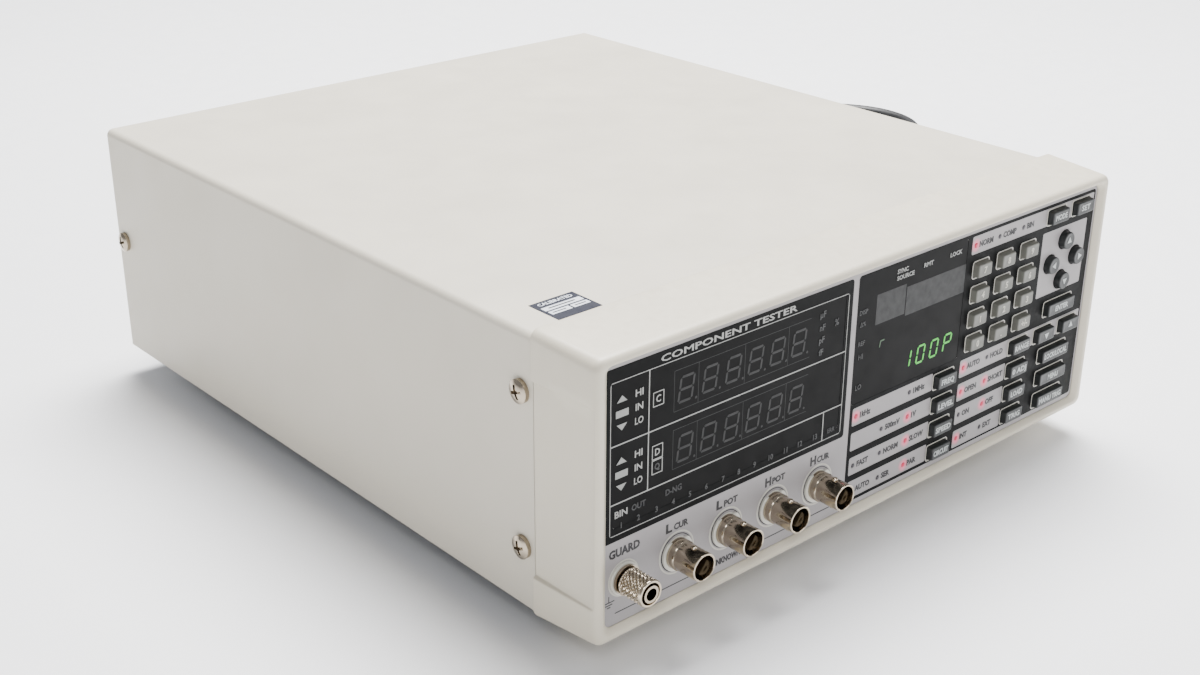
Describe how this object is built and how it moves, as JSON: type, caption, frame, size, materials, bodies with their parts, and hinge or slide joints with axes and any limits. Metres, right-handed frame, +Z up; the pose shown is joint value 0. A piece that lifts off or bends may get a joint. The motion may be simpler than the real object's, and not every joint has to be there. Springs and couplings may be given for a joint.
{
  "type": "component tester",
  "caption": "Bench component tester: ivory case with a front panel of keys and displays, coaxial test terminals, a guard post and a mains lead.",
  "frame": {"origin": "centre of the bounding box without the lead, at the feet", "axes": "+X to the right seen from the front, front faces -Y, +Z up"},
  "size_m": [0.5508, 0.4758, 0.1095],
  "materials": {
    "bezel_plastic": "satin moulded ivory",
    "panel_paint": "printed film, satin",
    "window_tint": "smoked filter, satin",
    "case_paint": "fine textured ivory paint",
    "chassis_metal": "zinc plated",
    "rear_paint": "ivory paint",
    "screw_nickel": "nickel plated",
    "foot_rubber": "matt",
    "nickel": "nickel plated",
    "ptfe": "matt",
    "gold_plate": "gold plated",
    "bush_white": "satin",
    "knurl_nickel": "nickel plated, knurled",
    "module_black": "matt",
    "board_green": "solder mask",
    "lamp_red": "tinted",
    "supply_metal": "plated",
    "inlet_black": "satin",
    "connector_metal": "plated shell",
    "label_film": "printed film",
    "cord_black": "satin",
    "key_grey": "satin",
    "key_dark": "satin"
  },
  "bodies": {
    "case": {"front_bezel": "bezel_plastic", "front_panel": "panel_paint", "display_windows": "window_tint", "top_cover": "case_paint", "bottom_chassis": "chassis_metal", "rear_panel": "rear_paint", "cover_screws": "screw_nickel", "feet": "foot_rubber", "bnc_bodies": "nickel", "bnc_dielectrics": "ptfe", "bnc_contacts": "gold_plate", "terminal_bushes": "bush_white", "guard_stud": "nickel", "digit_modules": "module_black", "key_board": "board_green", "status_lamps": "lamp_red", "main_board": "board_green", "power_supply": "supply_metal", "power_inlet": "inlet_black", "rear_connectors": "connector_metal", "cal_label": "label_film", "cord_connector": "cord_black", "mains_cord": "cord_black", "mains_coil": "cord_black", "mains_plug": "cord_black"},
    "guard_washer": {"guard_washer": "nickel"},
    "guard_knob": {"guard_knob": "knurl_nickel"},
    "power_rocker": {"power_rocker": "inlet_black"},
    "key_0": {"key_0": "key_grey"},
    "key_1": {"key_1": "key_grey"},
    "key_2": {"key_2": "key_grey"},
    "key_3": {"key_3": "key_grey"},
    "key_4": {"key_4": "key_grey"},
    "key_5": {"key_5": "key_grey"},
    "key_6": {"key_6": "key_grey"},
    "key_7": {"key_7": "key_grey"},
    "key_8": {"key_8": "key_grey"},
    "key_9": {"key_9": "key_grey"},
    "key_point": {"key_point": "key_grey"},
    "key_sign": {"key_sign": "key_grey"},
    "key_freq": {"key_freq": "key_dark"},
    "key_level": {"key_level": "key_dark"},
    "key_speed": {"key_speed": "key_dark"},
    "key_circuit": {"key_circuit": "key_dark"},
    "key_range": {"key_range": "key_dark"},
    "key_zero": {"key_zero": "key_dark"},
    "key_load": {"key_load": "key_dark"},
    "key_trig": {"key_trig": "key_dark"},
    "key_down": {"key_down": "key_dark"},
    "key_up": {"key_up": "key_dark"},
    "key_mode": {"key_mode": "key_dark"},
    "key_set": {"key_set": "key_dark"},
    "key_enter": {"key_enter": "key_dark"},
    "key_lock": {"key_lock": "key_dark"},
    "key_menu": {"key_menu": "key_dark"},
    "key_manual": {"key_manual": "key_dark"},
    "cursor_up": {"cursor_up": "key_dark"},
    "cursor_left": {"cursor_left": "key_dark"},
    "cursor_right": {"cursor_right": "key_dark"},
    "cursor_down": {"cursor_down": "key_dark"}
  },
  "joints": [
    {"name": "key_0_press", "type": "slide", "parent": "case", "child": "key_0", "axis": [0, 1, 0], "range_m": [0, 0.001], "stiffness_N_per_m": 250, "springref_m": -0.0006},
    {"name": "key_1_press", "type": "slide", "parent": "case", "child": "key_1", "axis": [0, 1, 0], "range_m": [0, 0.001], "stiffness_N_per_m": 250, "springref_m": -0.0006},
    {"name": "key_2_press", "type": "slide", "parent": "case", "child": "key_2", "axis": [0, 1, 0], "range_m": [0, 0.001], "stiffness_N_per_m": 250, "springref_m": -0.0006},
    {"name": "key_3_press", "type": "slide", "parent": "case", "child": "key_3", "axis": [0, 1, 0], "range_m": [0, 0.001], "stiffness_N_per_m": 250, "springref_m": -0.0006},
    {"name": "key_4_press", "type": "slide", "parent": "case", "child": "key_4", "axis": [0, 1, 0], "range_m": [0, 0.001], "stiffness_N_per_m": 250, "springref_m": -0.0006},
    {"name": "key_5_press", "type": "slide", "parent": "case", "child": "key_5", "axis": [0, 1, 0], "range_m": [0, 0.001], "stiffness_N_per_m": 250, "springref_m": -0.0006},
    {"name": "key_6_press", "type": "slide", "parent": "case", "child": "key_6", "axis": [0, 1, 0], "range_m": [0, 0.001], "stiffness_N_per_m": 250, "springref_m": -0.0006},
    {"name": "key_7_press", "type": "slide", "parent": "case", "child": "key_7", "axis": [0, 1, 0], "range_m": [0, 0.001], "stiffness_N_per_m": 250, "springref_m": -0.0006},
    {"name": "key_8_press", "type": "slide", "parent": "case", "child": "key_8", "axis": [0, 1, 0], "range_m": [0, 0.001], "stiffness_N_per_m": 250, "springref_m": -0.0006},
    {"name": "key_9_press", "type": "slide", "parent": "case", "child": "key_9", "axis": [0, 1, 0], "range_m": [0, 0.001], "stiffness_N_per_m": 250, "springref_m": -0.0006},
    {"name": "key_point_press", "type": "slide", "parent": "case", "child": "key_point", "axis": [0, 1, 0], "range_m": [0, 0.001], "stiffness_N_per_m": 250, "springref_m": -0.0006},
    {"name": "key_sign_press", "type": "slide", "parent": "case", "child": "key_sign", "axis": [0, 1, 0], "range_m": [0, 0.001], "stiffness_N_per_m": 250, "springref_m": -0.0006},
    {"name": "key_freq_press", "type": "slide", "parent": "case", "child": "key_freq", "axis": [0, 1, 0], "range_m": [0, 0.001], "stiffness_N_per_m": 250, "springref_m": -0.0006},
    {"name": "key_level_press", "type": "slide", "parent": "case", "child": "key_level", "axis": [0, 1, 0], "range_m": [0, 0.001], "stiffness_N_per_m": 250, "springref_m": -0.0006},
    {"name": "key_speed_press", "type": "slide", "parent": "case", "child": "key_speed", "axis": [0, 1, 0], "range_m": [0, 0.001], "stiffness_N_per_m": 250, "springref_m": -0.0006},
    {"name": "key_circuit_press", "type": "slide", "parent": "case", "child": "key_circuit", "axis": [0, 1, 0], "range_m": [0, 0.001], "stiffness_N_per_m": 250, "springref_m": -0.0006},
    {"name": "key_range_press", "type": "slide", "parent": "case", "child": "key_range", "axis": [0, 1, 0], "range_m": [0, 0.001], "stiffness_N_per_m": 250, "springref_m": -0.0006},
    {"name": "key_zero_press", "type": "slide", "parent": "case", "child": "key_zero", "axis": [0, 1, 0], "range_m": [0, 0.001], "stiffness_N_per_m": 250, "springref_m": -0.0006},
    {"name": "key_load_press", "type": "slide", "parent": "case", "child": "key_load", "axis": [0, 1, 0], "range_m": [0, 0.001], "stiffness_N_per_m": 250, "springref_m": -0.0006},
    {"name": "key_trig_press", "type": "slide", "parent": "case", "child": "key_trig", "axis": [0, 1, 0], "range_m": [0, 0.001], "stiffness_N_per_m": 250, "springref_m": -0.0006},
    {"name": "key_down_press", "type": "slide", "parent": "case", "child": "key_down", "axis": [0, 1, 0], "range_m": [0, 0.001], "stiffness_N_per_m": 250, "springref_m": -0.0006},
    {"name": "key_up_press", "type": "slide", "parent": "case", "child": "key_up", "axis": [0, 1, 0], "range_m": [0, 0.001], "stiffness_N_per_m": 250, "springref_m": -0.0006},
    {"name": "key_mode_press", "type": "slide", "parent": "case", "child": "key_mode", "axis": [0, 1, 0], "range_m": [0, 0.001], "stiffness_N_per_m": 250, "springref_m": -0.0006},
    {"name": "key_set_press", "type": "slide", "parent": "case", "child": "key_set", "axis": [0, 1, 0], "range_m": [0, 0.001], "stiffness_N_per_m": 250, "springref_m": -0.0006},
    {"name": "key_enter_press", "type": "slide", "parent": "case", "child": "key_enter", "axis": [0, 1, 0], "range_m": [0, 0.001], "stiffness_N_per_m": 250, "springref_m": -0.0006},
    {"name": "key_lock_press", "type": "slide", "parent": "case", "child": "key_lock", "axis": [0, 1, 0], "range_m": [0, 0.001], "stiffness_N_per_m": 250, "springref_m": -0.0006},
    {"name": "key_menu_press", "type": "slide", "parent": "case", "child": "key_menu", "axis": [0, 1, 0], "range_m": [0, 0.001], "stiffness_N_per_m": 250, "springref_m": -0.0006},
    {"name": "key_manual_press", "type": "slide", "parent": "case", "child": "key_manual", "axis": [0, 1, 0], "range_m": [0, 0.001], "stiffness_N_per_m": 250, "springref_m": -0.0006},
    {"name": "cursor_up_press", "type": "slide", "parent": "case", "child": "cursor_up", "axis": [0, 1, 0], "range_m": [0, 0.001], "stiffness_N_per_m": 250, "springref_m": -0.0006},
    {"name": "cursor_left_press", "type": "slide", "parent": "case", "child": "cursor_left", "axis": [0, 1, 0], "range_m": [0, 0.001], "stiffness_N_per_m": 250, "springref_m": -0.0006},
    {"name": "cursor_right_press", "type": "slide", "parent": "case", "child": "cursor_right", "axis": [0, 1, 0], "range_m": [0, 0.001], "stiffness_N_per_m": 250, "springref_m": -0.0006},
    {"name": "cursor_down_press", "type": "slide", "parent": "case", "child": "cursor_down", "axis": [0, 1, 0], "range_m": [0, 0.001], "stiffness_N_per_m": 250, "springref_m": -0.0006},
    {"name": "guard_lift", "type": "slide", "parent": "case", "child": "guard_washer", "axis": [0, -1, 0], "range_m": [0, 0.0028]},
    {"name": "guard_turn", "type": "hinge", "parent": "guard_washer", "child": "guard_knob", "pos_m": [-0.1167, -0.153, 0.0314], "axis": [0, -1, 0], "range_deg": [0, 1440]},
    {"name": "power_rock", "type": "hinge", "parent": "case", "child": "power_rocker", "pos_m": [0.061, 0.1514, 0.0357], "axis": [1, 0, 0], "range_deg": [0, 18]}
  ],
  "couplings": [
    {"joint": "guard_turn", "follows": "guard_lift", "rad_per_m": 8976}
  ]
}
